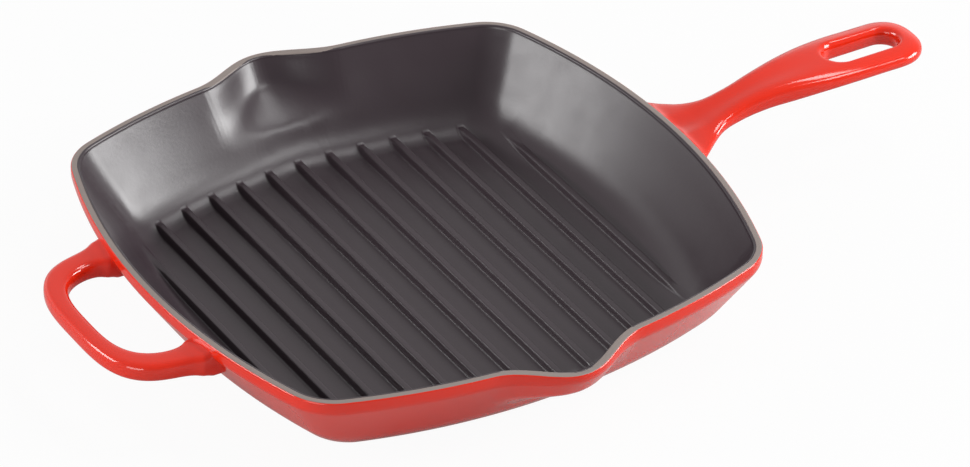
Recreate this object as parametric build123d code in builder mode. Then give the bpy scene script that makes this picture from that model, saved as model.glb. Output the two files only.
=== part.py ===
from build123d import *
from math import cos, exp, hypot, pi, radians, sin
import os

# Enamelled cast iron grill pan, in millimetres.
# The origin is the centre of the flat base, +Z is up, +X runs towards the long handle
# and the two pouring spouts face +Y and -Y.

# Pan body
rim_half_x = 130.0          # centre to the rim, towards either handle
rim_half_y = 131.7          # centre to the rim beside a spout
side_radius_x = 310.0       # bulge of the two walls that carry the handles
side_radius_y = 290.0       # bulge of the two walls that carry the spouts
corner_radius = 26.4        # rounding of the four corners, seen from above
corner_tighten_share = 0.315    # how much of the wall's inset the corner radius loses
body_height = 42.4          # base to rim
wall_thickness = 4.0        # iron with its two coats
enamel_thickness = 0.3      # one coat

# Wall profile, from the rim down: an upright band, a turn, a straight slope and two arcs
band_depth = 3.6
turn_radius = 6.0
slope_angle = 33.7          # straight part of the wall, from upright
slope_end_depth = 27.5      # depth below the rim where the slope starts to curve
upper_arc_radius = 41.0
arc_change_angle = 56.0     # wall angle where the tighter arc takes over
base_angle = 84.0           # wall angle where it meets the flat base

# Pouring spouts
spout_half_width = 36.0
spout_reach = 12.5          # how far the lip stands out
spout_dip = 2.3             # how far the rim falls at the lip
spout_full_depth = 6.0      # the spout keeps its full reach down to here
spout_end_depth = 20.0      # and has melted into the wall here

# Grill ribs
rib_count = 13
rib_pitch = 15.3
rib_height = 3.6
rib_top_width = 3.0
rib_base_width = 5.4
rib_shoulder_radius = 1.0
rib_embed = 1.2             # how deep the bars reach under the floor before they are trimmed

# Long handle
handle_reach = 127.5        # rim to tip
grip_half_width = 17.25
grip_thickness = 10.0
handle_step = 3.0           # rim down to the handle's top at its root
handle_rise = 11.6          # root up to the grip's top
dish_depth = 1.0            # shallow hollow between the two ridges on top
tip_squareness = 2.3        # 2 is a half ellipse seen from above
eye_half_width = 7.2        # hanging hole
eye_length = 36.4
eye_tip_margin = 10.1       # iron left between the hole and the tip
eye_lip_radius = 4.0        # soft funnel round the top of the hole

# Helper handle, a flat loop opposite the long handle
loop_reach = 35.5           # rim to the outside of the loop
loop_half_length = 48.0
loop_seat = 5.0             # the loop's curves are drawn from this far inside the rim
loop_bar_width = 9.3        # bar at the middle of the loop
loop_arm_width = 11.5       # bar at the two arms
loop_step = 5.0             # rim down to the top of the loop
loop_thickness = 9.0
loop_edge_radius = 2.6
loop_flare = 3.3            # arms widen by this where they meet the rim's line
loop_flare_length = 4.3
loop_root = 14.0            # how far the arms reach inside the rim before they are trimmed

cut_overrun = 8.0           # tools run past the faces they cut by this much

dip_steps = 12              # points along the dip over a spout
outline_steps = 80          # points round the pan
section_steps = 36          # points round a section of the long handle
loop_steps = 24             # points along each side of the helper handle

outer_power = 3.0           # squareness of the loop's outside
inner_power = 2.6           # squareness of the loop's inside

# Stations along the long handle, rim to grip. Each row holds shares of the sizes above:
# distance / handle_reach, half width / grip_half_width, top above the root / handle_rise,
# thickness / grip_thickness, widest line below the top / thickness, ridge / grip_half_width,
# dish / dish_depth, and the squareness.
handle_shares = [
    (-0.1176, 1.870, 0.000, 2.10, 0.20, 0.540, 0.3, 2.3),
    (-0.0627, 1.800, 0.000, 1.70, 0.20, 0.540, 0.5, 2.3),
    (-0.0314, 1.690, 0.000, 1.45, 0.20, 0.540, 0.7, 2.3),
    (0.0000, 1.540, 0.000, 1.20, 0.20, 0.540, 0.8, 2.3),
    (0.0314, 1.390, -0.020, 1.03, 0.22, 0.532, 0.9, 2.2),
    (0.0627, 1.200, 0.000, 0.93, 0.26, 0.522, 1.0, 2.2),
    (0.1020, 0.960, 0.060, 0.86, 0.34, 0.510, 1.0, 2.3),
    (0.1569, 0.690, 0.235, 0.89, 0.45, 0.480, 1.0, 2.6),
    (0.2510, 0.557, 0.534, 1.01, 0.50, 0.410, 1.0, 3.0),
    (0.3529, 0.626, 0.802, 1.11, 0.50, 0.480, 1.0, 3.0),
    (0.4549, 0.765, 0.948, 1.16, 0.50, 0.614, 1.0, 3.0),
    (0.5647, 0.910, 0.991, 1.06, 0.50, 0.750, 0.4, 2.9),
    (0.6902, 0.991, 1.000, 1.00, 0.50, 0.800, 0.0, 2.7),
    (0.7922, 1.000, 0.974, 0.96, 0.50, 0.800, 0.0, 2.6),
    (0.8647, 1.000, 0.960, 0.95, 0.50, 0.800, 0.0, 2.6),
]
tip_shares = (0.2, 0.4, 0.57, 0.72, 0.84, 0.92, 0.97, 0.995)


# Pan outline, seen from above

def corner_centre(half_x, half_y, radius_x, radius_y, corner):
    """Centre of the corner arc that touches the two side arcs from inside."""
    x_arc = half_x - radius_x
    y_arc = half_y - radius_y
    reach_x = radius_x - corner
    reach_y = radius_y - corner
    span = hypot(x_arc, y_arc)
    along = (reach_x**2 - reach_y**2 + span**2) / (2 * span)
    aside = (reach_x**2 - along**2) ** 0.5
    ux, uy = -x_arc / span, y_arc / span
    return x_arc + ux * along - uy * aside, uy * along + ux * aside


def spout_shape(x):
    """Height of the spout's bump as a share, from one on its centre line to zero at its sides."""
    share = min(abs(x) / spout_half_width, 1)
    return 0.5 + 0.5 * cos(pi * share)


def spout_strength(depth):
    """Share of the spout's reach that is left at a depth below the rim."""
    share = (depth - spout_full_depth) / (spout_end_depth - spout_full_depth)
    return 0.5 + 0.5 * cos(pi * min(max(share, 0), 1))


def outline(inset, reach, coat):
    """Closed outline: rim outline drawn in by inset, spouts added, then offset inwards by coat."""
    half_x = rim_half_x - inset
    half_y = rim_half_y - inset
    radius_x = side_radius_x - inset
    radius_y = side_radius_y - inset
    corner = corner_radius - corner_tighten_share * inset
    cx, cy = corner_centre(half_x, half_y, radius_x, radius_y, corner)
    x_arc, y_arc = half_x - radius_x, half_y - radius_y
    scale_x = radius_x / (radius_x - corner)
    scale_y = radius_y / (radius_y - corner)
    tangent_y = cy * scale_x
    tangent_x = cx * scale_y
    side_y = tangent_y / half_y
    side_x = tangent_x / half_x
    quarter = outline_steps // 4
    side_steps = 3 * quarter // 8
    corner_steps = quarter - 2 * side_steps
    points = []
    for k in range(side_steps):
        y = side_y * half_y * k / side_steps
        points.append((x_arc + (radius_x**2 - y**2) ** 0.5, y))
    tangent_point_x = x_arc + (cx - x_arc) * scale_x
    tangent_point_y = y_arc + (cy - y_arc) * scale_y
    start = (tangent_point_x - cx, tangent_y - cy)
    finish = (tangent_x - cx, tangent_point_y - cy)
    for k in range(corner_steps):
        share = k / corner_steps
        x = start[0] * (1 - share) + finish[0] * share
        y = start[1] * (1 - share) + finish[1] * share
        stretch = corner / hypot(x, y)
        points.append((cx + x * stretch, cy + y * stretch))
    for k in range(side_steps + 1):
        x = side_x * half_x * (1 - k / side_steps)
        points.append((x, y_arc + (radius_y**2 - x**2) ** 0.5))
    points += [(-x, y) for x, y in reversed(points[:-1])]
    points += [(x, -y) for x, y in reversed(points[1:-1])]
    bumped = []
    for x, y in points:
        bump = reach * spout_shape(x) if abs(y) > half_y / 2 else 0
        bumped.append((x, y + bump if y > 0 else y - bump))
    count = len(bumped)
    inner = []
    for k in range(count):
        before, here, after = bumped[k - 1], bumped[k], bumped[(k + 1) % count]
        tx, ty = after[0] - before[0], after[1] - before[1]
        size = hypot(tx, ty)
        inner.append((here[0] - coat * ty / size, here[1] + coat * tx / size))
    return inner


# Wall stations: inset, depth below the rim and wall angle

turn_inset = turn_radius * (1 - cos(radians(slope_angle)))
turn_depth = band_depth + turn_radius * sin(radians(slope_angle))
slope_run = slope_end_depth - turn_depth
slope_end_inset = turn_inset + slope_run * sin(radians(slope_angle)) / cos(radians(slope_angle))
change_inset = slope_end_inset + upper_arc_radius * (
    cos(radians(slope_angle)) - cos(radians(arc_change_angle)))
change_depth = slope_end_depth + upper_arc_radius * (
    sin(radians(arc_change_angle)) - sin(radians(slope_angle)))
lower_arc_radius = (body_height - change_depth) / (
    sin(radians(base_angle)) - sin(radians(arc_change_angle)))


def wall_stations():
    """From the foot of the upright band to the base."""
    stations = [(0.0, band_depth, 0.0), (turn_inset, turn_depth, radians(slope_angle))]
    for share in (0.33, 0.67, 1.0):
        inset = turn_inset + (slope_end_inset - turn_inset) * share
        stations.append((inset, turn_depth + slope_run * share, radians(slope_angle)))
    for share in (0.5, 1.0):
        angle = radians(slope_angle + (arc_change_angle - slope_angle) * share)
        inset = slope_end_inset + upper_arc_radius * (cos(radians(slope_angle)) - cos(angle))
        depth = slope_end_depth + upper_arc_radius * (sin(angle) - sin(radians(slope_angle)))
        stations.append((inset, depth, angle))
    for share in (0.5, 1.0):
        angle = radians(arc_change_angle + (base_angle - arc_change_angle) * share)
        inset = change_inset + lower_arc_radius * (cos(radians(arc_change_angle)) - cos(angle))
        depth = change_depth + lower_arc_radius * (sin(angle) - sin(radians(arc_change_angle)))
        stations.append((inset, depth, angle))
    return stations


def curve_shares(points):
    """Distance along a closed curve at each of its points and back at the first, as shares."""
    steps = [hypot(x - points[k - 1][0], y - points[k - 1][1]) for k, (x, y) in enumerate(points)]
    steps = steps[1:] + steps[:1]
    total = sum(steps)
    return [sum(steps[:k]) / total for k in range(len(steps) + 1)]


def face_on(plane, points, shares):
    """Face inside one smooth closed curve, spaced by shares so that its neighbours match it."""
    with BuildSketch(plane) as section:
        with BuildLine():
            add(Edge.make_spline([(x, y, 0) for x, y in points], periodic=True, parameters=shares))
        make_face()
    return section.sketch


def wall_faces(coat):
    """Level sections, band to base, of the wall surface that lies coat inside the outside."""
    sections = []
    shares = curve_shares(outline(0.0, 0.0, 0.0))
    for inset, depth, angle in wall_stations():
        height = body_height - depth + coat * sin(angle)
        reach = spout_reach * spout_strength(depth)
        points = outline(inset, reach, coat * cos(angle))
        sections.append(face_on(Plane.XY.offset(height), points, shares))
    return sections


iron_coat = enamel_thickness
iron_inside_coat = wall_thickness - enamel_thickness

# The pan's outside as a filled shape, at the enamel's surface and at the iron's, and the
# cooking space likewise. All four stand taller than the rim, which is cut to its line later.
with BuildPart() as body_fill:
    loft(wall_faces(0.0))
    extrude(faces().sort_by(Axis.Z)[-1], amount=band_depth + cut_overrun)

with BuildPart() as iron_fill:
    loft(wall_faces(iron_coat))
    extrude(faces().sort_by(Axis.Z)[-1], amount=band_depth + cut_overrun)

with BuildPart() as iron_cavity:
    loft(wall_faces(iron_inside_coat))
    extrude(faces().sort_by(Axis.Z)[-1], amount=band_depth + cut_overrun)

with BuildPart() as enamel_cavity:
    loft(wall_faces(wall_thickness))
    extrude(faces().sort_by(Axis.Z)[-1], amount=band_depth + cut_overrun)


# Everything above the rim line, which falls over the spouts, lowered by one coat or by none

def above_rim(lower):
    """Block above the rim's top line, as wide as the pan."""
    edge_x = rim_half_x + cut_overrun
    level = body_height - lower
    points = []
    for k in range(dip_steps + 1):
        x = spout_half_width * (2 * k / dip_steps - 1)
        points.append((x, level - spout_dip * spout_shape(x)))
    with BuildPart() as block:
        with BuildSketch(Plane.XZ.offset(-2 * rim_half_y)):
            with BuildLine():
                Spline(*points, tangents=[(1, 0), (1, 0)])
                Polyline(points[-1], (edge_x, level), (edge_x, level + 2 * cut_overrun),
                         (-edge_x, level + 2 * cut_overrun), (-edge_x, level), points[0])
            make_face()
        extrude(amount=4 * rim_half_y)
    return block.part


# Long handle: closed sections across it, from inside the wall to the tip

def handle_stations():
    """Distance from the rim, half width, top, thickness, widest line, ridge, dish, squareness."""
    stations = []
    for reach, width, rise, thick, high, ridge, dish, power in handle_shares:
        stations.append((handle_reach * reach, grip_half_width * width,
                         body_height - handle_step + handle_rise * rise,
                         grip_thickness * thick, high, grip_half_width * ridge,
                         dish_depth * dish, power))
    last = stations[-1]
    tip_length = handle_reach - last[0]
    for share in tip_shares:
        width = last[1] * (1 - share**tip_squareness) ** (1 / tip_squareness)
        thick = last[3] * (1 - share**4) ** 0.5
        stations.append((last[0] + tip_length * share, width, last[2] - (last[3] - thick) / 2,
                         thick, last[4], width, 0.0, last[7]))
    return stations


def handle_section(station, coat):
    """Rounded section of the handle, drawn in by coat, with the hollow between its ridges."""
    reach, half_width, top, thick, high, ridge, dish, power = station
    half_width -= coat
    above = thick * high - coat
    below = thick * (1 - high) - coat
    middle = top - thick * high
    points = []
    for k in range(section_steps):
        angle = 2 * pi * k / section_steps
        c, s = cos(angle), sin(angle)
        stretch = (abs(c) ** power + abs(s) ** power) ** (-1 / power)
        y = half_width * stretch * c
        z = (above if s > 0 else below) * stretch * s
        if s > 0 and abs(y) < ridge:
            z -= dish * (1 - (y / ridge) ** 2) ** 2
        points.append((y, middle + z))
    return points


def handle_faces(coat):
    """Sections across the handle, each upright at its distance from the rim."""
    sections = []
    shares = curve_shares(handle_section(handle_stations()[section_steps // 3], 0.0))
    for station in handle_stations():
        plane = Plane(origin=(rim_half_x + station[0], 0, 0), x_dir=(0, 1, 0), z_dir=(1, 0, 0))
        sections.append(face_on(plane, handle_section(station, coat), shares))
    return sections


def eye_tool(coat):
    """Hanging hole: an upright slot that opens out in a soft funnel at the top."""
    grip_top = body_height - handle_step + handle_rise
    half_width = eye_half_width + coat
    middle_x = rim_half_x + handle_reach - eye_tip_margin - eye_length / 2
    with BuildPart() as tool:
        with BuildSketch(Plane.XY.offset(grip_top - 2 * grip_thickness)):
            with Locations((middle_x, 0)):
                SlotOverall(eye_length + 2 * coat, 2 * half_width)
        extrude(amount=2 * grip_thickness)
        levels = []
        for angle in (0, 25, 50, 75):
            spread = eye_lip_radius * (1 - cos(radians(angle)))
            height = grip_top - eye_lip_radius * (1 - sin(radians(angle)))
            levels.append((spread, height))
        levels.append((levels[-1][0] + eye_lip_radius, levels[-1][1] + eye_lip_radius))
        funnel = []
        for spread, height in levels:
            with BuildSketch(Plane.XY.offset(height)) as ring:
                with Locations((middle_x, 0)):
                    SlotOverall(eye_length + 2 * (coat + spread), 2 * (half_width + spread))
            funnel.append(ring.sketch)
        loft(funnel, ruled=True)
    return tool.part


# The handle's whole shape at the enamel's surface and at the iron's
with BuildPart() as handle_fill:
    loft(handle_faces(0.0))
    add(eye_tool(0.0), mode=Mode.SUBTRACT)

with BuildPart() as handle_iron_fill:
    loft(handle_faces(iron_coat))
    add(eye_tool(iron_coat), mode=Mode.SUBTRACT)


# Helper handle: a flat loop between two squared-off ovals

def oval_points(half_x, half_y, power, flare):
    """Half of an oval seen from above, from its +Y root round the outside to its -Y root."""
    seat_x = -rim_half_x + loop_seat
    points = []
    for k in range(loop_steps + 1):
        angle = pi / 2 + pi * k / loop_steps
        c, s = cos(angle), sin(angle)
        x = seat_x - half_x * abs(c) ** (2 / power)
        side = 1 if s > 0 else -1
        spread = flare * exp(min(x + rim_half_x, 0) / loop_flare_length)
        points.append((x, side * (half_y * abs(s) ** (2 / power) + spread)))
    return points


def loop_shape(coat):
    """Helper handle with every surface drawn in by coat."""
    seat_x = -rim_half_x + loop_seat
    outer_x = loop_reach + loop_seat - coat
    outer_y = loop_half_length - coat
    inner_x = loop_reach + loop_seat - loop_bar_width + coat
    inner_y = loop_half_length - loop_arm_width + coat
    outer = oval_points(outer_x, outer_y, outer_power, loop_flare)
    inner = oval_points(inner_x, inner_y, inner_power, 0.0)
    with BuildPart() as loop:
        with BuildSketch(Plane.XY.offset(body_height - loop_step - loop_thickness + coat)):
            with BuildLine():
                Spline(*outer)
                Polyline(outer[-1], (seat_x + loop_root, outer[-1][1]),
                         (seat_x + loop_root, outer[0][1]), outer[0])
            make_face()
            with BuildLine():
                Spline(*inner)
                Polyline(inner[-1], (seat_x + loop_root, inner[-1][1]),
                         (seat_x + loop_root, inner[0][1]), inner[0])
            make_face(mode=Mode.SUBTRACT)
        extrude(amount=loop_thickness - 2 * coat)
        rounded = edges().filter_by(GeomType.BSPLINE).group_by(Axis.Z)
        fillet(rounded[0] + rounded[-1], loop_edge_radius - coat)
    return loop.part


with BuildPart() as loop_fill:
    add(loop_shape(0.0))

with BuildPart() as loop_iron_fill:
    add(loop_shape(iron_coat))


# Grill ribs, as bars from wall to wall that are later trimmed by the cooking space

def rib_bars(coat):
    """Bars that stand on the cooking floor, drawn in by coat."""
    floor_top = wall_thickness
    top = floor_top + rib_height - coat
    lean = (rib_base_width - rib_top_width) / 2 / rib_height
    side = coat * hypot(1, lean)
    foot_drop = rib_embed
    with BuildPart() as bars:
        with BuildSketch(Plane.XZ.offset(-rim_half_y)):
            for k in range(rib_count):
                x = (k - (rib_count - 1) / 2) * rib_pitch
                half_top = rib_top_width / 2 - side + coat * lean
                half_foot = rib_base_width / 2 - side + foot_drop * lean
                with BuildLine():
                    Polyline((x - half_foot, floor_top - foot_drop), (x - half_top, top),
                             (x + half_top, top), (x + half_foot, floor_top - foot_drop),
                             close=True)
                make_face()
            fillet(vertices().group_by(Axis.Z)[-1], rib_shoulder_radius - coat)
        extrude(amount=2 * rim_half_y)
    return bars.part


with BuildPart() as rib_shapes:
    add(rib_bars(0.0))

with BuildPart() as rib_iron_shapes:
    add(rib_bars(iron_coat))


# Finished pieces

above_enamel = above_rim(0.0)
above_iron = above_rim(iron_coat)

# The four shapes cut to the rim's line, which lies one coat lower on the iron
with BuildPart() as body_block:
    add(body_fill.part)
    add(above_iron, mode=Mode.SUBTRACT)

with BuildPart() as iron_block:
    add(iron_fill.part)
    add(above_iron, mode=Mode.SUBTRACT)

# The iron wall and floor under the coats
with BuildPart() as pan_body:
    add(iron_block.part)
    add(iron_cavity.part, mode=Mode.SUBTRACT)

# Iron ribs on the cooking floor, run out into the curve at the foot of the wall
with BuildPart() as grill_ribs:
    add(rib_iron_shapes.part)
    add(iron_cavity.part, mode=Mode.INTERSECT)

# Iron of the two handles, from the wall outwards. The wall's coat runs on behind their roots.
with BuildPart() as long_handle:
    add(handle_iron_fill.part)
    add(body_fill.part, mode=Mode.SUBTRACT)

with BuildPart() as helper_handle:
    add(loop_iron_fill.part)
    add(body_fill.part, mode=Mode.SUBTRACT)

# Gloss coat on the outside of the wall and under the base
with BuildPart() as body_coat:
    add(body_block.part)
    add(iron_fill.part, mode=Mode.SUBTRACT)

with BuildPart() as outer_enamel:
    add(body_coat.part)
    split(bisect_by=Plane.XY.offset(iron_coat), keep=Keep.TOP)

with BuildPart() as base_enamel:
    add(body_coat.part)
    split(bisect_by=Plane.XY.offset(iron_coat), keep=Keep.BOTTOM)

# Gloss coat on each handle
with BuildPart() as long_handle_enamel:
    add(handle_fill.part)
    add(body_fill.part, mode=Mode.SUBTRACT)
    add(handle_iron_fill.part, mode=Mode.SUBTRACT)

with BuildPart() as helper_handle_enamel:
    add(loop_fill.part)
    add(body_fill.part, mode=Mode.SUBTRACT)
    add(loop_iron_fill.part, mode=Mode.SUBTRACT)

# Satin coat over the inside of the wall, the floor and the ribs
with BuildPart() as enamel_space:
    add(enamel_cavity.part)
    add(rib_shapes.part, mode=Mode.SUBTRACT)

with BuildPart() as cooking_enamel:
    add(iron_cavity.part)
    add(above_iron, mode=Mode.SUBTRACT)
    add(rib_iron_shapes.part, mode=Mode.SUBTRACT)
    add(enamel_space.part, mode=Mode.SUBTRACT)

# Ground coat that shows as a band on top of the rim
with BuildPart() as rim_coat:
    add(above_iron)
    add(above_enamel, mode=Mode.SUBTRACT)
    add(body_fill.part, mode=Mode.INTERSECT)
    add(enamel_cavity.part, mode=Mode.SUBTRACT)

os.makedirs("parts", exist_ok=True)
pieces = {
    "pan_body": pan_body,
    "grill_ribs": grill_ribs,
    "long_handle": long_handle,
    "helper_handle": helper_handle,
    "outer_enamel": outer_enamel,
    "base_enamel": base_enamel,
    "long_handle_enamel": long_handle_enamel,
    "helper_handle_enamel": helper_handle_enamel,
    "cooking_enamel": cooking_enamel,
    "rim_coat": rim_coat,
}
for name, piece in pieces.items():
    piece.part.label = name
    export_step(piece.part, f"parts/{name}.step")
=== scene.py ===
import bpy
import math
import numpy as np
from mathutils import Matrix, Vector


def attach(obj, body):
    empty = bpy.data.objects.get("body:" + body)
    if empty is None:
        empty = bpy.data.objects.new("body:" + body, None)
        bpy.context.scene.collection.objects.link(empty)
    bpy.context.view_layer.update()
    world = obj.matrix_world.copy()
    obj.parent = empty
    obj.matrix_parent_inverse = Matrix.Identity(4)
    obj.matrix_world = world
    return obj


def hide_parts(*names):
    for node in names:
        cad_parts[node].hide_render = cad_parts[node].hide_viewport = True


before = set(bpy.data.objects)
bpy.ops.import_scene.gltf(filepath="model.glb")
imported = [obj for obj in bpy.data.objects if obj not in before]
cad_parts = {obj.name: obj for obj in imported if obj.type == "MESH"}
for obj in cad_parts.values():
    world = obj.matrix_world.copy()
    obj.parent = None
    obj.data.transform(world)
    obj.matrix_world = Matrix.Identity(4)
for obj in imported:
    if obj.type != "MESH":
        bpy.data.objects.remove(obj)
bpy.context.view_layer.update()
scene = bpy.context.scene
mm = 0.001

# The pan's outline and wall, in millimetres and degrees, for the shell, rim and cooking surface
pan = {
    "rimHalfX": 130.0, "rimHalfY": 131.7, "sideRadiusX": 310.0, "sideRadiusY": 290.0,
    "cornerRadius": 26.4, "cornerTighten": 0.315, "height": 42.4, "wall": 4.0,
    "bandDepth": 3.6, "turnRadius": 6.0, "slopeAngle": 33.7, "slopeEnd": 27.5,
    "upperArc": 41.0, "changeAngle": 56.0, "baseAngle": 84.0,
    "spoutHalfWidth": 36.0, "spoutReach": 12.5, "spoutDip": 2.3,
    "spoutFullDepth": 14.0, "spoutEndDepth": 28.0,
    "leanSlope": 0.6, "leanStart": 0.8, "leanBlend": 4.5, "leanBlendDepth": 25.0, "leastBlend": 0.001,
    "steps": 480, "bandRows": 6, "turnRows": 8, "slopeRows": 22, "upperRows": 9, "lowerRows": 17,
}


def outlineAt(inset, reach, coat):
    # Four arcs and four corners, moved out at the spouts, then offset inwards along the normal
    halfX, halfY = pan["rimHalfX"] - inset, pan["rimHalfY"] - inset
    radiusX, radiusY = pan["sideRadiusX"] - inset, pan["sideRadiusY"] - inset
    corner = pan["cornerRadius"] - pan["cornerTighten"] * inset
    arcX, arcY = halfX - radiusX, halfY - radiusY
    span = math.hypot(arcX, arcY)
    along = ((radiusX - corner) ** 2 - (radiusY - corner) ** 2 + span ** 2) / (2 * span)
    aside = math.sqrt((radiusX - corner) ** 2 - along ** 2)
    ux, uy = -arcX / span, arcY / span
    cx, cy = arcX + ux * along - uy * aside, uy * along + ux * aside
    tangentY = cy * radiusX / (radiusX - corner)
    tangentX = cx * radiusY / (radiusY - corner)
    quarter = pan["steps"] // 4
    # Three eighths of a quarter's points lie on each side's arc, the rest on the corner
    side = 3 * quarter // 8
    share = np.arange(side) / side
    sideY = tangentY * share
    right = np.stack([arcX + np.sqrt(radiusX ** 2 - sideY ** 2), sideY], 1)
    start = np.array([arcX + (cx - arcX) * radiusX / (radiusX - corner) - cx, tangentY - cy])
    end = np.array([tangentX - cx, arcY + (cy - arcY) * radiusY / (radiusY - corner) - cy])
    share = (np.arange(quarter - 2 * side) / (quarter - 2 * side))[:, None]
    spoke = start * (1 - share) + end * share
    bend = np.array([cx, cy]) + spoke * corner / np.linalg.norm(spoke, axis=1)[:, None]
    topX = tangentX * (1 - np.arange(side + 1) / side)
    top = np.stack([topX, arcY + np.sqrt(radiusY ** 2 - topX ** 2)], 1)
    ring = np.concatenate([right, bend, top])
    ring = np.concatenate([ring, ring[:-1][::-1] * (-1, 1)])
    ring = np.concatenate([ring, ring[1:-1][::-1] * (1, -1)])
    bump = reach * spoutShape(ring[:, 0]) * (np.abs(ring[:, 1]) > halfY / 2)
    ring[:, 1] += bump * np.sign(ring[:, 1])
    return ring - coat * outward(ring)


def outward(ring):
    # Unit normals of a closed ring of points that runs anticlockwise
    tangent = np.roll(ring, -1, 0) - np.roll(ring, 1, 0)
    normal = np.stack([tangent[:, 1], -tangent[:, 0]], 1)
    return normal / np.linalg.norm(normal, axis=1)[:, None]


def smoothMax(a, b, k):
    # Greater of a and b, with a parabola between them where they lie within k of each other
    share = np.clip(0.5 + 0.5 * (a - b) / k, 0, 1)
    return b + (a - b) * share + k * share * (1 - share)


def spoutShape(x):
    # (1 + cos) / 2 over the spout's width: one in its middle, zero beside it
    share = np.minimum(np.abs(x) / pan["spoutHalfWidth"], 1)
    return 0.5 + 0.5 * np.cos(math.pi * share)


def wallLevels():
    # Inset, depth and angle down the wall: band, turn, straight slope, two arcs
    slope, change = math.radians(pan["slopeAngle"]), math.radians(pan["changeAngle"])
    base = math.radians(pan["baseAngle"])
    rows = [(0.0, d, 0.0) for d in np.linspace(0, pan["bandDepth"], pan["bandRows"])]
    for a in np.linspace(0, slope, pan["turnRows"])[1:]:
        rows.append((pan["turnRadius"] * (1 - math.cos(a)),
                     pan["bandDepth"] + pan["turnRadius"] * math.sin(a), a))
    inset, depth = rows[-1][:2]
    for d in np.linspace(depth, pan["slopeEnd"], pan["slopeRows"])[1:]:
        rows.append((inset + (d - depth) * math.tan(slope), d, slope))
    inset, depth = rows[-1][:2]
    for a in np.linspace(slope, change, pan["upperRows"])[1:]:
        rows.append((inset + pan["upperArc"] * (math.cos(slope) - math.cos(a)),
                     depth + pan["upperArc"] * (math.sin(a) - math.sin(slope)), a))
    inset, depth = rows[-1][:2]
    radius = (pan["height"] - depth) / (math.sin(base) - math.sin(change))
    for a in np.linspace(change, base, pan["lowerRows"])[1:]:
        rows.append((inset + radius * (math.cos(change) - math.cos(a)),
                     depth + radius * (math.sin(a) - math.sin(change)), a))
    return rows


def leanAt(height, ring, past):
    # How far the inside of the wall stands in so that it leans evenly from the rim line down:
    # smoothMax(slope (h - start), past) - past, with h measured from the rim line
    h = rimLine(ring) - height
    blend = pan["leanBlend"] * np.clip(h / pan["leanBlendDepth"], pan["leastBlend"], 1)
    lean = pan["leanSlope"] * np.maximum(h - pan["leanStart"], 0)
    return (smoothMax(lean, np.broadcast_to(past, lean.shape), blend) - past)[:, None]


def wallTable(coat, leaning=False):
    # Heights, top to bottom, and the ring of points at each, for the surface coat under the outside
    heights, rings = [], []
    fadeDepth = pan["spoutEndDepth"] - pan["spoutFullDepth"]
    for inset, depth, angle in wallLevels():
        share = np.clip((depth - pan["spoutFullDepth"]) / fadeDepth, 0, 1)
        reach = pan["spoutReach"] * (0.5 + 0.5 * math.cos(math.pi * share))
        heights.append(pan["height"] - depth + coat * math.sin(angle))
        ring = outlineAt(inset, reach, coat * math.cos(angle))
        if leaning:
            past = inset + coat * math.cos(angle) - coat
            ring -= leanAt(heights[-1], ring, past) * outward(ring)
        rings.append(ring)
    return np.array(heights), np.array(rings)


def rimLine(ring):
    # Height of the rim's top, which falls over the spouts
    atSpoutSide = np.abs(ring[:, 1]) > pan["rimHalfY"] / 2
    return pan["height"] - pan["spoutDip"] * spoutShape(ring[:, 0]) * atSpoutSide


def ringAt(table, height):
    # Point of each column of the wall at its own height
    heights, rings = table
    height = np.broadcast_to(height, (pan["steps"],))
    fromTop = np.interp(-height, -heights, np.arange(len(heights)))
    low = np.minimum(fromTop.astype(int), len(heights) - 2)
    share = (fromTop - low)[:, None]
    k = np.arange(pan["steps"])
    return rings[low, k] * (1 - share) + rings[low + 1, k] * share


outerTable = wallTable(0.0)
innerTable = wallTable(pan["wall"], leaning=True)


def gridFaces(rows, columns, closed, flip=False):
    # Quads over points laid row by row; a closed row joins its last column to its first
    r = np.arange(rows - 1)[:, None] * columns
    c = np.arange(columns if closed else columns - 1)[None, :]
    d = (c + 1) % columns
    quads = np.stack([r + c, r + d, r + columns + d, r + columns + c], -1).reshape(-1, 4)
    return quads[:, ::-1] if flip else quads


def addMesh(name, points, quads, others=()):
    mesh = bpy.data.meshes.new(name)
    faces = [tuple(q) for q in np.asarray(quads).tolist()] + [tuple(f) for f in others]
    mesh.from_pydata((np.asarray(points, float) * mm).tolist(), [], faces)
    mesh.validate()
    mesh.shade_smooth()
    obj = bpy.data.objects.new(name, mesh)
    scene.collection.objects.link(obj)
    return obj


def at(ring, height):
    return np.column_stack([ring, np.broadcast_to(height, (len(ring),))])


# Materials

def linear(code):
    # sRGB hex colour to linear RGBA
    parts = [int(code[i:i + 2], 16) / 255 for i in (1, 3, 5)]
    return [c / 12.92 if c <= 0.04045 else ((c + 0.055) / 1.055) ** 2.4 for c in parts] + [1.0]


def addNode(tree, kind, inputs=(), **settings):
    node = tree.nodes.new(kind)
    for key, value in settings.items():
        setattr(node, key, value)
    for key, value in dict(inputs).items():
        if isinstance(value, bpy.types.NodeSocket):
            tree.links.new(value, node.inputs[key])
        else:
            node.inputs[key].default_value = value
    return node


def grainBump(tree, place, size, height, detail):
    # Bump from noise, with its size and height in millimetres
    noise = addNode(tree, "ShaderNodeTexNoise", {
        "Vector": place, "Scale": 1 / (size * mm), "Detail": detail})
    bump = addNode(tree, "ShaderNodeBump", {
        "Height": noise.outputs["Fac"], "Strength": 1.0, "Distance": height * mm})
    return bump.outputs["Normal"]


def newMaterial(name):
    material = bpy.data.materials.new(name)
    material.use_nodes = True
    material.node_tree.nodes.clear()
    return material, material.node_tree


def finishMaterial(tree, shader):
    out = addNode(tree, "ShaderNodeOutputMaterial")
    tree.links.new(shader, out.inputs["Surface"])


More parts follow.
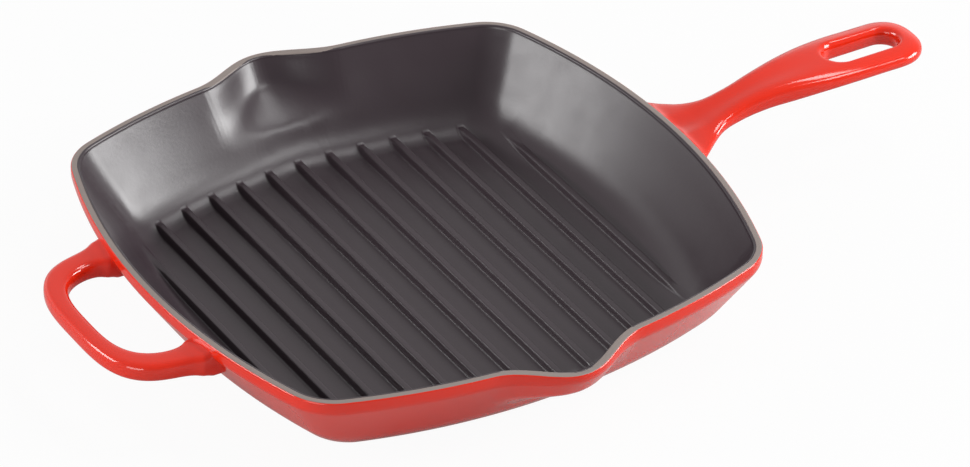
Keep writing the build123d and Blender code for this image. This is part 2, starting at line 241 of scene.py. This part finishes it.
def grainedMaterial(name, look):
    # One colour, with a grain or wave in its surface
    material, tree = newMaterial(name)
    place = addNode(tree, "ShaderNodeTexCoord").outputs["Object"]
    shader = addNode(tree, "ShaderNodeBsdfPrincipled", {
        "Base Color": linear(look["colour"]), "Roughness": look["roughness"], "IOR": look["ior"],
        "Metallic": look["metallic"],
        "Normal": grainBump(tree, place, look["grainSize"], look["grainHeight"], look["detail"])})
    finishMaterial(tree, shader.outputs["BSDF"])
    return material


# Gloss vitreous enamel: red glass over a ground coat, with the slight waviness of a fired coat
glossLook = {"colour": "#cf250e", "roughness": 0.12, "ior": 1.52, "metallic": 0.0,
             "grainSize": 9.0, "grainHeight": 0.05, "detail": 1.0}

# Grey ground coat that shows where the two enamels stop short of each other on the rim
groundLook = {"colour": "#7f746f", "roughness": 0.5, "ior": 1.5, "metallic": 0.0,
              "grainSize": 0.9, "grainHeight": 0.03, "detail": 3.0}

# Bare cast iron under the enamel, on the solids that the pieces below stand for
ironLook = {"colour": "#3c3c3e", "roughness": 0.62, "ior": 1.5, "metallic": 0.6,
            "grainSize": 1.2, "grainHeight": 0.08, "detail": 3.0}

# Satin black enamel, sprayed over the cast surface so that its grain shows through
satinLook = {"colour": "#33292e", "roughness": 0.32, "ior": 1.5,
             "grainSize": 1.6, "grainHeight": 0.024, "detail": 2.0,
             "roughSize": 14.0, "roughSpread": 0.025, "roughLow": 0.3, "roughHigh": 0.7}


def satinEnamel():
    material, tree = newMaterial("satinEnamel")
    place = addNode(tree, "ShaderNodeTexCoord").outputs["Object"]
    normal = grainBump(tree, place, satinLook["grainSize"], satinLook["grainHeight"], satinLook["detail"])
    patch = addNode(tree, "ShaderNodeTexNoise", {
        "Vector": place, "Scale": 1 / (satinLook["roughSize"] * mm), "Detail": satinLook["detail"]})
    rough = addNode(tree, "ShaderNodeMapRange", {
        "Value": patch.outputs["Fac"],
        "From Min": satinLook["roughLow"], "From Max": satinLook["roughHigh"],
        "To Min": satinLook["roughness"] - satinLook["roughSpread"],
        "To Max": satinLook["roughness"] + satinLook["roughSpread"]})
    shader = addNode(tree, "ShaderNodeBsdfPrincipled", {
        "Base Color": linear(satinLook["colour"]), "Roughness": rough.outputs["Result"],
        "IOR": satinLook["ior"], "Normal": normal})
    finishMaterial(tree, shader.outputs["BSDF"])
    return material


red, satin = grainedMaterial("glossEnamel", glossLook), satinEnamel()
ground, iron = grainedMaterial("groundCoat", groundLook), grainedMaterial("castIron", ironLook)
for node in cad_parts.values():
    node.data.materials.clear()
    node.data.materials.append(iron)
print("materials made")


def dress(obj, material, slotName, *nodes):
    obj.data.materials.append(material)
    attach(obj, "root")
    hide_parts(*nodes)


# Outer shell: rows down the wall, then across the flat base to its centre
shell = {"lipRound": 0.85, "lipFrom": 0.4, "lipRows": 5, "thickness": 0.3,
         "followDepth": 9.0, "followRows": 12, "rowGap": 0.3,
         "baseShares": [0.985, 0.95, 0.87, 0.7, 0.45, 0.2, 0.05]}


def outerShell():
    # Row point = ring of the wall at height z; the top rows follow the rim line down over the spouts
    rim = outerTable[1][0]
    top = rimLine(rim)
    rows = []
    for share in np.linspace(shell["lipFrom"], 1, shell["lipRows"]):
        angle = share * math.pi / 2
        z = top - shell["lipRound"] * (1 - math.cos(angle))
        ring = ringAt(outerTable, z)
        rows.append(at(ring - shell["lipRound"] * (1 - math.sin(angle)) * outward(ring), z))
    start = rows[-1][:, 2]
    full = pan["height"] - shell["followDepth"]
    for share in np.linspace(0, 1, shell["followRows"] + 1)[1:]:
        z = start * (1 - share) + full * share
        rows.append(at(ringAt(outerTable, z), z))
    for z in outerTable[0][outerTable[0] < full - shell["rowGap"]]:
        rows.append(at(ringAt(outerTable, z), z))
    foot = rows[-1][:, :2]
    for share in shell["baseShares"]:
        rows.append(at(foot * share, 0.0))
    points = np.concatenate(rows + [np.array([[0.0, 0.0, 0.0]])])
    steps = pan["steps"]
    last = (len(rows) - 1) * steps
    fan = [(len(points) - 1, last + (k + 1) % steps, last + k) for k in range(steps)]
    obj = addMesh("outerShell", points, gridFaces(len(rows), steps, True, flip=True), fan)
    thick = obj.modifiers.new("coat", "SOLIDIFY")
    thick.thickness = shell["thickness"] * mm
    thick.offset = -1.0
    dress(obj, red, "gloss_enamel", "outer_enamel", "base_enamel", "pan_body")


outerShell()
print("outer shell made")

# Rim band: a rounded section run round the top of the wall
rimBand = {"edgeRadius": 0.8, "gap": 0.06, "depth": 1.35, "edgeSteps": 7, "flatSteps": 5}


def rimSection():
    # (distance in from the outside, distance below the rim line), closed
    r, wall = rimBand["edgeRadius"], pan["wall"]
    left, right = rimBand["gap"] + r, wall - rimBand["gap"] - r
    section = [(rimBand["gap"], rimBand["depth"])]
    for a in np.linspace(0, math.pi / 2, rimBand["edgeSteps"]):
        section.append((left - r * math.cos(a), r - r * math.sin(a)))
    for x in np.linspace(left, right, rimBand["flatSteps"])[1:-1]:
        section.append((x, 0.0))
    for a in np.linspace(math.pi / 2, 0, rimBand["edgeSteps"]):
        section.append((right + r * math.cos(a), r - r * math.sin(a)))
    section += [(right + r, rimBand["depth"]), (right, rimBand["depth"]), (left, rimBand["depth"])]
    return section


def rimMesh():
    rim = outerTable[1][0]
    top = rimLine(rim)
    normal = outward(rim)
    rows = []
    for inset, drop in rimSection():
        rows.append(at(rim - inset * normal, top - drop))
    rows.append(rows[0])
    points = np.concatenate(rows[:-1])
    steps = pan["steps"]
    quads = gridFaces(len(rows), steps, True) % len(points)
    obj = addMesh("rimBandCoat", points, quads)
    dress(obj, ground, "ground_coat", "rim_coat")


rimMesh()
print("rim made")

# Cooking surface: wall, floor and ribs in one sheet
cooking = {
    "ribCount": 13, "ribPitch": 15.3, "ribHeight": 3.2, "ribTop": 3.0, "ribBase": 5.0, "ribRound": 1.44,
    "footRound": 1.1, "sink": 1.7, "sinkStart": 4.3, "sinkSpan": 3.0, "fadeStart": 14.0, "fadeSpan": 6.0,
    "lipRound": 0.9, "lipOver": 0.35, "lipAbove": 0.05, "lipSteps": 7, "bandSteps": 5, "thickness": 0.3,
    "lastStraight": 96.0, "columnGap": 0.2, "rowSplit": 0.70, "rowsInside": 10, "rowsOutside": 36,
    "wallColumns": 26, "firstRow": 5, "bearings": 1440, "tolerance": 1e-6,
    "ribOffsets": [0, 0.7, 1.05, 1.3, 1.5, 1.7, 1.9, 2.1, 2.35, 2.6, 2.9, 3.3, 4.2, 7.65],
}


def wallHeight(x, y):
    # Height of the inside of the wall over a place in plan, from its rings sorted by bearing
    heights, rings = innerTable
    usedHeights, usedRings = heights[cooking["firstRow"]:], rings[cooking["firstRow"]:]
    count = cooking["bearings"]
    bearings = np.linspace(-math.pi, math.pi, count + 1)
    table = []
    for ring in usedRings:
        angle, radius = np.arctan2(ring[:, 1], ring[:, 0]), np.hypot(ring[:, 0], ring[:, 1])
        order = np.argsort(angle)
        table.append(np.interp(bearings, angle[order], radius[order], period=2 * math.pi))
    table = np.array(table)
    place = (np.arctan2(y, x) + math.pi) / (2 * math.pi) * count
    low = np.minimum(place.astype(int), count - 1)
    share = place - low
    columns = table[:, low] * (1 - share) + table[:, low + 1] * share
    radius = np.hypot(x, y)
    inside = np.clip((columns > radius).sum(0), 1, len(usedHeights) - 1)
    k = np.arange(len(x))
    above, below = columns[inside - 1, k], columns[inside, k]
    part = np.clip((above - radius) / (above - below), 0, 1)
    height = usedHeights[inside - 1] * (1 - part) + usedHeights[inside] * part
    return np.where(radius >= columns[0] - cooking["tolerance"], usedHeights[0], height)


def ribHeight(x):
    # Height of the nearest rib's outline: a flat top and leaning sides
    pitch, half = cooking["ribPitch"], (cooking["ribCount"] - 1) / 2
    nearest = np.clip(np.round(x / pitch), -half, half) * pitch
    away = np.abs(x - nearest)
    steep = cooking["ribHeight"] / (cooking["ribBase"] - cooking["ribTop"]) * 2
    side = pan["wall"] + (cooking["ribBase"] / 2 - away) * steep
    top = pan["wall"] + cooking["ribHeight"]
    return -smoothMax(-side, np.full_like(side, -top), cooking["ribRound"])


def ribColumns():
    columns = set()
    for k in range(cooking["ribCount"]):
        centre = (k - (cooking["ribCount"] - 1) / 2) * cooking["ribPitch"]
        for d in cooking["ribOffsets"]:
            for x in (centre - d, centre + d):
                if abs(x) < cooking["lastStraight"] - cooking["columnGap"]:
                    columns.add(round(x, 3))
    columns |= {-cooking["lastStraight"], cooking["lastStraight"]}
    return np.array(sorted(columns))


def cookingSurface():
    # Sheet over (p, q): p runs across the ribs, q along them from wall to wall
    foot = innerTable[1][cooking["firstRow"]]
    quarter = pan["steps"] // 4
    corner = foot[np.argmax(foot[:, 0] + foot[:, 1])]
    upper = foot[:2 * quarter + 1]
    back = upper[np.argsort(upper[:, 0])]
    rightSide = foot[(foot[:, 0] > 0) & (np.abs(foot[:, 1]) <= corner[1] + cooking["tolerance"])]
    rightSide = rightSide[np.argsort(rightSide[:, 1])]
    columns = ribColumns()
    last = cooking["lastStraight"]
    outer = np.linspace(0, 1, cooking["wallColumns"] + 1)[1:]
    split = cooking["rowSplit"]
    half = np.concatenate([np.linspace(0, split, cooking["rowsInside"] + 1),
                           np.linspace(split, 1, cooking["rowsOutside"] + 1)[1:]])
    q = np.concatenate([-half[:0:-1], half])
    beside = last + (corner[0] - last) * outer
    px = np.concatenate([-beside[::-1], columns, beside])
    beyond = np.concatenate([-outer[::-1], np.zeros(len(columns)), outer])
    topY = np.interp(px, back[:, 0], back[:, 1])
    y = q[None, :] * topY[:, None]
    sideX = np.interp(q * corner[1], rightSide[:, 1], rightSide[:, 0])
    t = np.abs(beyond)[:, None]
    x = np.where(t > 0, np.sign(px)[:, None] * (last * (1 - t) + sideX[None, :] * t), px[:, None])
    wall = wallHeight(x.ravel(), y.ravel())
    sinking = np.clip((wall - cooking["sinkStart"]) / cooking["sinkSpan"], 0, 1)
    ribs = ribHeight(x.ravel()) - cooking["sink"] * sinking * sinking * (3 - 2 * sinking)
    z = smoothMax(wall, ribs, cooking["footRound"])
    edgeFade = np.clip((wall - cooking["fadeStart"]) / cooking["fadeSpan"], 0, 1)
    z = z * (1 - edgeFade) + wall * edgeFade
    points = np.column_stack([x.ravel(), y.ravel(), z])
    rows, count = x.shape
    quads = gridFaces(rows, count, False, flip=True)
    # The sheet's border is carried up to the rim and turned outwards over its inner edge
    index = np.arange(rows * count).reshape(rows, count)
    border = np.concatenate([index[:, 0], index[-1, 1:], index[-2::-1, -1], index[0, -2:0:-1]])
    edge = points[border]
    top = rimLine(edge[:, :2])
    normal = outward(edge[:, :2])
    strips = [edge]
    footLean = leanAt(edge[:, 2], edge, 0.0)
    for share in np.linspace(0, 1, cooking["bandSteps"] + 1)[1:]:
        z = edge[:, 2] + (top - cooking["lipRound"] - edge[:, 2]) * share
        strips.append(np.column_stack([edge[:, :2] + (footLean - leanAt(z, edge, 0.0)) * normal, z]))
    lip = strips[-1][:, :2]
    r = cooking["lipRound"]
    turned = [(r * (1 - math.cos(a)), r * (1 - math.sin(a)) - cooking["lipAbove"] * math.sin(a))
              for a in np.linspace(0, math.pi / 2, cooking["lipSteps"])[1:]]
    for out, drop in turned + [(r + cooking["lipOver"], -cooking["lipAbove"])]:
        strips.append(np.column_stack([lip + out * normal, top - drop]))
    n = len(border)
    bandQuads = []
    previous = border
    for s in range(1, len(strips)):
        here = len(points) + np.arange(n)
        points = np.concatenate([points, strips[s]])
        following = np.roll(previous, -1)
        bandQuads.append(np.stack([previous, here, np.roll(here, -1), following], 1))
        previous = here
    obj = addMesh("cookingSurface", points, np.concatenate([quads] + bandQuads))
    thick = obj.modifiers.new("coat", "SOLIDIFY")
    thick.thickness = cooking["thickness"] * mm
    thick.offset = -1.0
    dress(obj, satin, "satin_enamel", "cooking_enamel", "grill_ribs")


cookingSurface()
print("cooking surface made")


def ringSolid(name, rings):
    # Closed solid through rings of equal count, capped at both ends with a centre point
    rings = np.asarray(rings, float)
    rows, count = rings.shape[:2]
    points = np.concatenate([rings.reshape(-1, 3), rings[:1].mean(1), rings[-1:].mean(1)])
    base, tip = rows * count, rows * count + 1
    fans = [((k + 1) % count, k, base) for k in range(count)]
    fans += [((rows - 1) * count + k, (rows - 1) * count + (k + 1) % count, tip) for k in range(count)]
    return addMesh(name, points, gridFaces(rows, count, True), fans)


# The handles' roots end inside the wall, at this depth under its outside
cutter = {"depth": 1.6, "everyRow": 3, "above": 8.0}


def wallCutter():
    # The pan's filled outside, drawn in by the cutter's depth
    table = wallTable(cutter["depth"])
    rings = [at(ringAt(table, z), z) for z in table[0][::-cutter["everyRow"]]]
    rings.append(at(table[1][0], pan["height"] + cutter["above"]))
    return ringSolid("wallCutter", rings)


def takeAway(obj, tool):
    cut = obj.modifiers.new("cut", "BOOLEAN")
    cut.operation = "DIFFERENCE"
    cut.solver = "EXACT"
    cut.object = tool


def applied(obj, tools):
    # Mesh after its modifiers, as plain data; the cutting tools are removed
    graph = bpy.context.evaluated_depsgraph_get()
    mesh = bpy.data.meshes.new_from_object(obj.evaluated_get(graph))
    obj.modifiers.clear()
    old = obj.data
    obj.data = mesh
    mesh.name = obj.name
    bpy.data.meshes.remove(old)
    for tool in tools:
        data = tool.data
        bpy.data.objects.remove(tool)
        bpy.data.meshes.remove(data)


def soften(obj, values):
    # Even fine mesh, then rounds of smoothing that take the hardness off its edges
    fine = obj.modifiers.new("even", "REMESH")
    fine.mode = "VOXEL"
    fine.voxel_size = values["voxel"] * mm
    fine.use_smooth_shade = True
    ease = obj.modifiers.new("ease", "SMOOTH")
    ease.factor = values["smoothFactor"]
    ease.iterations = values["smoothRounds"]


# Long handle: sections along X, from inside the wall to the rounded tip, with a hanging eye
handle = {
    "reach": 127.5, "halfWidth": 17.25, "thickness": 10.0, "step": 3.0, "rise": 11.6, "dish": 1.0,
    "tipSquareness": 2.3, "tipSlimming": 4, "tipGap": 0.05, "tipRows": 22, "tipEnd": 0.995,
    "rows": 120, "around": 96,
    "eyeHalfWidth": 7.2, "eyeLength": 36.4, "eyeMargin": 10.1, "eyeLip": 4.0, "eyeUnderLip": 2.0,
    "eyeDepthShare": 0.97, "eyeTopShare": 0.9, "eyeTurn": 0.01,
    "eyeUnderAngles": [80, 55, 30, 0], "eyeLipAngles": [0, 20, 40, 60, 78],
    "weld": 1.6, "weldLength": 2.2, "voxel": 0.5, "smoothFactor": 0.5, "smoothRounds": 8,
    # share of reach, width, rise and thickness; widest line, ridge place, dish and squareness
    "stations": [
        (-0.1176, 1.870, 0.000, 2.10, 0.20, 0.540, 0.3, 2.3),
        (-0.0627, 1.800, 0.000, 1.70, 0.20, 0.540, 0.5, 2.3),
        (-0.0314, 1.690, 0.000, 1.45, 0.20, 0.540, 0.7, 2.3),
        (0.0000, 1.540, 0.000, 1.20, 0.20, 0.540, 0.8, 2.3),
        (0.0314, 1.390, -0.020, 1.03, 0.22, 0.532, 0.9, 2.2),
        (0.0627, 1.200, 0.000, 0.93, 0.26, 0.522, 1.0, 2.2),
        (0.1020, 0.960, 0.060, 0.86, 0.34, 0.510, 1.0, 2.3),
        (0.1569, 0.690, 0.235, 0.89, 0.45, 0.480, 1.0, 2.6),
        (0.2510, 0.557, 0.534, 1.01, 0.50, 0.410, 1.0, 3.0),
        (0.3529, 0.626, 0.802, 1.11, 0.50, 0.480, 1.0, 3.0),
        (0.4549, 0.765, 0.948, 1.16, 0.50, 0.614, 1.0, 3.0),
        (0.5647, 0.910, 0.991, 1.06, 0.50, 0.750, 0.4, 2.9),
        (0.6902, 0.991, 1.000, 1.00, 0.50, 0.800, 0.0, 2.7),
        (0.7922, 1.000, 0.974, 0.96, 0.50, 0.800, 0.0, 2.6),
        (0.8647, 1.000, 0.960, 0.95, 0.50, 0.800, 0.0, 2.6),
    ],
}


def curveThrough(keys, values, places):
    # Smooth cubic through the rows of values at keys, read at places
    keys, values = np.asarray(keys, float), np.asarray(values, float)
    slope = np.gradient(values, keys, axis=0)
    k = np.clip(np.searchsorted(keys, places) - 1, 0, len(keys) - 2)
    width = (keys[k + 1] - keys[k])[:, None]
    t = ((places - keys[k]) / width[:, 0])[:, None]
    h1, h2 = 2 * t ** 3 - 3 * t ** 2 + 1, t ** 3 - 2 * t ** 2 + t
    h3, h4 = -2 * t ** 3 + 3 * t ** 2, t ** 3 - t ** 2
    return h1 * values[k] + h2 * width * slope[k] + h3 * values[k + 1] + h4 * width * slope[k + 1]


def handleRings():
    # Superellipse sections, hollowed between the ridges, then slimmer ones round the tip
    table = np.array(handle["stations"])
    places = np.linspace(table[0, 0], table[-1, 0], handle["rows"])
    rows = curveThrough(table[:, 0], table[:, 1:], places)
    count = handle["around"]
    angle = np.linspace(0, 2 * math.pi, count, endpoint=False)
    c, s = np.cos(angle), np.sin(angle)
    rings = []
    low = pan["height"] - handle["step"]

    def section(x, half, top, thick, high, ridge, dish, power):
        stretch = (np.abs(c) ** power + np.abs(s) ** power) ** (-1 / power)
        y, z = half * stretch * c, np.where(s > 0, thick * high, thick * (1 - high)) * stretch * s
        hollow = dish * np.clip(1 - (y / ridge) ** 2, 0, None) ** 2
        z = z - np.where(s > 0, hollow, 0)
        rings.append(np.column_stack([np.full(count, x), y, top - thick * high + z]))

    for place, row in zip(places, rows):
        x = pan["rimHalfX"] + handle["reach"] * place
        weld = handle["weld"] * math.exp(-max(place, 0) * handle["reach"] / handle["weldLength"])
        top = low + handle["rise"] * row[1] + weld
        section(x, handle["halfWidth"] * row[0], top, handle["thickness"] * row[2] + weld, row[3],
                handle["halfWidth"] * row[4], handle["dish"] * row[5], row[6])
    end, power = rows[-1], handle["tipSquareness"]
    tipLength = handle["reach"] * (1 - places[-1]) - handle["tipGap"]
    for share in np.sin(np.linspace(0, 1, handle["tipRows"])[1:] * math.pi / 2 * handle["tipEnd"]):
        thick = handle["thickness"] * end[2]
        slim = thick * math.sqrt(1 - share ** handle["tipSlimming"])
        half = handle["halfWidth"] * end[0] * (1 - share ** power) ** (1 / power)
        section(pan["rimHalfX"] + handle["reach"] * places[-1] + tipLength * share, half,
                low + handle["rise"] * end[1] - (thick - slim) / 2, slim, end[3], half, 0.0, end[6])
    return rings


def eyeCutter():
    # Rings of a slot, wider at the top and a little at the underside
    top = pan["height"] - handle["step"] + handle["rise"]
    under = top - handle["eyeDepthShare"] * handle["thickness"]
    lip, underLip = handle["eyeLip"], handle["eyeUnderLip"]
    middle = pan["rimHalfX"] + handle["reach"] - handle["eyeMargin"] - handle["eyeLength"] / 2
    levels = [(underLip * 2, under - underLip)]
    for a in np.radians(handle["eyeUnderAngles"]):
        levels.append((underLip * (1 - math.cos(a)), under + underLip * (1 - math.sin(a))))
    for a in np.radians(handle["eyeLipAngles"]):
        levels.append((lip * (1 - math.cos(a)), top - lip * (1 - math.sin(a))))
    levels.append((levels[-1][0] + lip, top + lip * handle["eyeTopShare"]))
    rings = []
    straight = handle["eyeLength"] / 2 - handle["eyeHalfWidth"]
    angle = np.linspace(0, 2 * math.pi, handle["around"], endpoint=False) + handle["eyeTurn"]
    for spread, z in levels:
        r = handle["eyeHalfWidth"] + spread
        x = middle + r * np.cos(angle) + straight * np.sign(np.cos(angle))
        rings.append(np.column_stack([x, r * np.sin(angle), np.full(handle["around"], z)]))
    return ringSolid("eyeCutter", rings)


def longHandle():
    obj = ringSolid("longHandleShape", handleRings())
    tools = [eyeCutter(), wallCutter()]
    for tool in tools:
        takeAway(obj, tool)
    applied(obj, tools)
    soften(obj, handle)
    applied(obj, [])
    obj.data.materials.clear()
    dress(obj, red, "gloss_enamel", "long_handle_enamel", "long_handle")


longHandle()
print("long handle made")

# Helper handle: a rounded bar run round a squared-off half oval, its arms welded into the wall
loop = {"reach": 35.5, "halfLength": 48.0, "seat": 5.0, "bar": 8.8, "arm": 11.5, "step": 5.0,
        "thickness": 9.0, "edge": 3.3, "flare": 3.3, "flareLength": 4.3, "root": 14.0,
        "outerPower": 3.3, "innerPower": 3.3, "innerFlare": 3.0, "innerFlareLength": 3.0,
        "weld": 2.2, "weldLength": 4.0, "voxel": 0.5, "smoothFactor": 0.5, "smoothRounds": 8,
        "rows": 121, "around": 64, "flatness": 3.0}


def loopRings():
    # Outer and inner curve x = seat - a|cos t|^(2/n), y = b|sin t|^(2/n), joined by the bar's section
    seat = -pan["rimHalfX"] + loop["seat"]
    # Points along it stand closer together at the arms
    share = np.linspace(0, 1, loop["rows"])
    turn = math.pi / 2 + math.pi * (0.5 * share + 0.25 * (1 - np.cos(share * math.pi)))
    c, s = np.abs(np.cos(turn)), np.sin(turn)

    def curve(a, b, power, flare, length):
        x = seat - a * c ** (2 / power)
        spread = flare * np.exp(np.minimum(x + pan["rimHalfX"], 0) / length)
        y = np.sign(s) * (b * np.abs(s) ** (2 / power) + spread)
        return np.stack([x, y], 1)

    a = loop["reach"] + loop["seat"]
    outer = curve(a, loop["halfLength"], loop["outerPower"], loop["flare"], loop["flareLength"])
    inner = curve(a - loop["bar"], loop["halfLength"] - loop["arm"], loop["innerPower"],
                  -loop["innerFlare"], loop["innerFlareLength"])
    root = np.array([[loop["root"], 0.0]])
    outer = np.concatenate([outer[:1] + root, outer, outer[-1:] + root])
    inner = np.concatenate([inner[:1] + root, inner, inner[-1:] + root])
    angle = np.linspace(0, 2 * math.pi, loop["around"], endpoint=False)
    rings = []
    edge, flat = loop["edge"], loop["flatness"]
    for o, i in zip(outer, inner):
        middle, half = (o + i) / 2, np.linalg.norm(o - i) / 2
        across = (o - i) / (2 * half)
        weld = loop["weld"] * math.exp(min(middle[0] - seat, 0) / loop["weldLength"])
        thick = loop["thickness"] / 2 + weld
        u = np.clip(np.cos(angle) * flat, -1, 1) * (half - edge) + edge * np.cos(angle)
        v = np.clip(np.sin(angle) * flat, -1, 1) * (thick - edge) + edge * np.sin(angle)
        plan = middle + across * u[:, None]
        z = pan["height"] - loop["step"] - loop["thickness"] / 2 + v
        rings.append(np.column_stack([plan, z])[::-1])
    return rings


def helperHandle():
    obj = ringSolid("helperHandleShape", loopRings())
    tools = [wallCutter()]
    takeAway(obj, tools[0])
    applied(obj, tools)
    soften(obj, loop)
    applied(obj, [])
    obj.data.materials.clear()
    dress(obj, red, "gloss_enamel", "helper_handle_enamel", "helper_handle")


helperHandle()
print("helper handle made")

# Floor and world: white to the camera, dimmer in reflections, plain to everything else
stageLook = {
    "floorColour": "#c4c4c4", "floorSize": 12.0, "floorGap": 0.05,
    "whiteShare": 0.95, "reflectedShare": 0.1, "worldLevel": 0.35,
    "skyLow": 0.1, "skyHigh": 0.55, "skyLevel": 0.6,
    "frontShare": 0.42, "backShare": 1.15, "shareSpan": 0.8,
}


def mathNode(tree, operation, first, second):
    return addNode(tree, "ShaderNodeMath", {0: first, 1: second}, operation=operation).outputs[0]


def mixValue(tree, share, low, high):
    return addNode(tree, "ShaderNodeMix", {0: share, 2: low, 3: high}, data_type="FLOAT").outputs[0]


def backgroundRay(tree):
    # One for camera, glossy and transmission rays
    ray = addNode(tree, "ShaderNodeLightPath").outputs
    seen = mathNode(tree, "MAXIMUM", ray["Is Camera Ray"], ray["Is Glossy Ray"])
    return mathNode(tree, "MAXIMUM", seen, ray["Is Transmission Ray"])


def floorAndWorld():
    half = stageLook["floorSize"] / 2 / mm
    low = -stageLook["floorGap"]
    corners = [(-half, -half, low), (half, -half, low), (half, half, low), (-half, half, low)]
    floor = addMesh("floor", corners, [(0, 1, 2, 3)])
    material, tree = newMaterial("paleFloor")
    plain = addNode(tree, "ShaderNodeBsdfDiffuse", {"Color": linear(stageLook["floorColour"])})
    white = addNode(tree, "ShaderNodeEmission", {"Color": (1, 1, 1, 1), "Strength": 1.0})
    # Shadows stay in reflections, where the white is weaker than to the camera
    toCamera = addNode(tree, "ShaderNodeLightPath").outputs["Is Camera Ray"]
    level = mixValue(tree, toCamera, stageLook["reflectedShare"], stageLook["whiteShare"])
    share = mathNode(tree, "MULTIPLY", backgroundRay(tree), level)
    mix = addNode(tree, "ShaderNodeMixShader", {0: share, 1: plain.outputs[0], 2: white.outputs[0]})
    finishMaterial(tree, mix.outputs[0])
    floor.data.materials.append(material)
    world = bpy.data.worlds.new("studio")
    world.use_nodes = True
    world.node_tree.nodes.clear()
    tree = world.node_tree
    # White all round to the camera; in reflections white at the horizon, dim overhead and in front
    toCamera = addNode(tree, "ShaderNodeLightPath").outputs["Is Camera Ray"]
    direction = addNode(tree, "ShaderNodeTexCoord").outputs["Generated"]
    split = addNode(tree, "ShaderNodeSeparateXYZ", {0: direction})
    sky = addNode(tree, "ShaderNodeMapRange", {
        "Value": split.outputs["Z"], "From Min": stageLook["skyLow"], "From Max": stageLook["skyHigh"],
        "To Min": 1.0, "To Max": stageLook["skyLevel"]}, interpolation_type="SMOOTHSTEP")
    depth = addNode(tree, "ShaderNodeMapRange", {
        "Value": split.outputs["Y"],
        "From Min": -stageLook["shareSpan"], "From Max": stageLook["shareSpan"],
        "To Min": stageLook["frontShare"], "To Max": stageLook["backShare"]})
    reflected = mathNode(tree, "MULTIPLY", sky.outputs["Result"], depth.outputs["Result"])
    shown = mixValue(tree, toCamera, reflected, 1.0)
    level = mixValue(tree, backgroundRay(tree), stageLook["worldLevel"], shown)
    back = addNode(tree, "ShaderNodeBackground", {"Color": (1, 1, 1, 1), "Strength": level})
    out = addNode(tree, "ShaderNodeOutputWorld")
    tree.links.new(back.outputs[0], out.inputs["Surface"])
    scene.world = world


floorAndWorld()

# Lamps: place and aim in metres, size in metres, power in watts
lamps = {
    "topBox": {"at": (0.72, 0.12, 1.38), "aim": (0.1, 0.0, 0.03), "size": (0.55, 0.26), "power": 4.2},
    "frontBox": {"at": (0.74, -0.66, 1.22), "aim": (0.1, 0.0, 0.03), "size": (0.55, 0.3), "power": 5.0},
    "rightBox": {"at": (1.33, -0.62, 0.58), "aim": (0.03, 0.0, 0.03), "size": (0.7, 0.66), "power": 25.0},
    "leftBox": {"at": (-1.26, 0.6, 0.55), "aim": (0.03, 0.0, 0.03), "size": (0.8, 0.42), "power": 12.5},
    "sideBox": {"at": (-1.3, -0.68, 0.28), "aim": (-0.1, 0.0, 0.03), "size": (0.8, 0.5), "power": 7.5},
}


def lampAt(name, at, aim, size, power):
    light = bpy.data.lights.new(name, "AREA")
    light.shape = "RECTANGLE"
    light.size, light.size_y = size
    light.energy = power
    obj = bpy.data.objects.new(name, light)
    scene.collection.objects.link(obj)
    obj.location = at
    obj.rotation_euler = (Vector(aim) - Vector(at)).to_track_quat("-Z", "Y").to_euler()


for lampName, values in lamps.items():
    lampAt(lampName, **values)
print("stage made")

# Camera at the photograph's angle
view = {"azimuth": -30.539, "elevation": 33.628, "target": (14.763, -35.397, 42.4), "distance": 2709.9,
        "lens": 236.25, "sensor": 36.0, "nearest": 0.05, "furthest": 50.0}


def cameraAt():
    azimuth, elevation = math.radians(view["azimuth"]), math.radians(view["elevation"])
    level = math.cos(elevation)
    back = Vector((math.sin(azimuth) * level, -math.cos(azimuth) * level, math.sin(elevation)))
    right = Vector((math.cos(azimuth), math.sin(azimuth), 0.0))
    up = back.cross(right)
    data = bpy.data.cameras.new("photoCamera")
    data.lens = view["lens"]
    data.sensor_width = view["sensor"]
    data.sensor_fit = "HORIZONTAL"
    data.clip_start, data.clip_end = view["nearest"], view["furthest"]
    obj = bpy.data.objects.new("photoCamera", data)
    scene.collection.objects.link(obj)
    place = Vector(view["target"]) * mm + back * view["distance"] * mm
    turn = Matrix((right, up, back)).transposed().to_4x4()
    obj.matrix_world = Matrix.Translation(place) @ turn
    scene.camera = obj


cameraAt()
scene.view_settings.view_transform = "Standard"
